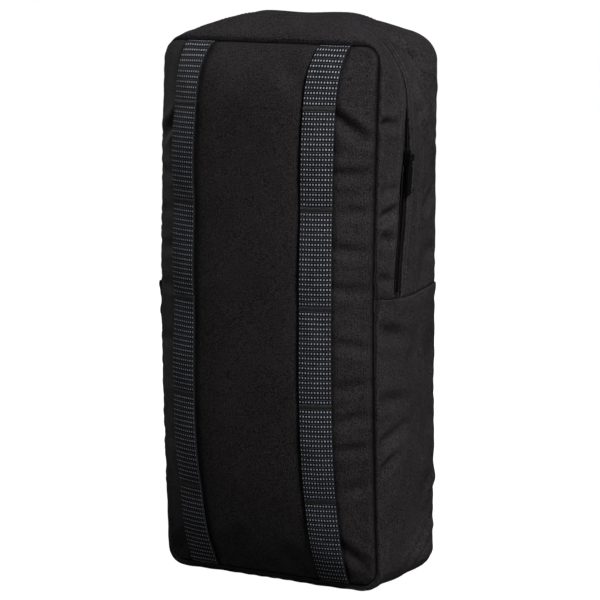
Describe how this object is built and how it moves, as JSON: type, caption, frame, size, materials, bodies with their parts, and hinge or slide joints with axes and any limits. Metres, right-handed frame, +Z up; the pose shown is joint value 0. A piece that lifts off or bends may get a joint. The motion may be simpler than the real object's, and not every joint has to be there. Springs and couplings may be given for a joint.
{
  "type": "zipped rucksack side pouch",
  "caption": "Tall zipped side pouch for a rucksack, with webbing ladders on its front and a zipped lid that folds back.",
  "frame": {"origin": "under the middle of the base, on the surface it stands on", "axes": "+Z up, +X to the right as seen by someone facing the webbing, the webbing faces -Y"},
  "size_m": [0.2162, 0.144, 0.454],
  "materials": {
    "panel_cloth": "matt coated plain weave nylon",
    "gusset_cloth": "matt coated plain weave nylon",
    "hem_cloth": "doubled hem of the same cloth",
    "zip_tape": "woven polyester tape",
    "zip_coil": "black polyester monofilament",
    "black_metal": "black coated zinc casting",
    "webbing": "dark grey ribbed webbing",
    "thread": "black bonded thread",
    "binding": "black binding tape"
  },
  "bodies": {
    "pouch": {"front_panel": "panel_cloth", "front_band": "gusset_cloth", "lower_gusset": "gusset_cloth", "lower_gusset_hem": "hem_cloth", "rear_panel_lower": "panel_cloth", "zip_tape_front": "zip_tape", "zip_coil_front": "zip_coil", "zip_stops": "zip_coil", "webbing_left": "webbing", "webbing_right": "webbing", "bar_tacks_left": "thread", "bar_tacks_right": "thread", "front_seam_binding": "binding", "rear_seam_binding_lower": "binding"},
    "lid": {"rear_panel_upper": "panel_cloth", "rear_band": "gusset_cloth", "rain_flap": "gusset_cloth", "zip_tape_rear": "zip_tape", "zip_coil_rear": "zip_coil", "rear_seam_binding_upper": "binding"},
    "slider_right": {"zip_slider_right": "black_metal"},
    "slider_left": {"zip_slider_left": "black_metal"},
    "pull_right": {"zip_pull_right": "black_metal"},
    "pull_left": {"zip_pull_left": "black_metal"}
  },
  "joints": [
    {"name": "lid_fold", "type": "hinge", "parent": "pouch", "child": "lid", "pos_m": [0, 0.072, 0.236], "axis": [-1, 0, 0], "range_deg": [0, 115]},
    {"name": "slider_right_run", "type": "slide", "parent": "pouch", "child": "slider_right", "axis": [0, -0.1282, -0.9918], "range_m": [0, 0.095]},
    {"name": "slider_left_run", "type": "slide", "parent": "pouch", "child": "slider_left", "axis": [0, -0.1282, -0.9918], "range_m": [0, 0.095]},
    {"name": "pull_right_swing", "type": "hinge", "parent": "slider_right", "child": "pull_right", "pos_m": [0.10635, 0.00316, 0.34556], "axis": [0, -0.9918, 0.1282], "range_deg": [0, 165]},
    {"name": "pull_left_swing", "type": "hinge", "parent": "slider_left", "child": "pull_left", "pos_m": [-0.10635, 0.00316, 0.34556], "axis": [0, 0.9918, -0.1282], "range_deg": [0, 165]}
  ]
}
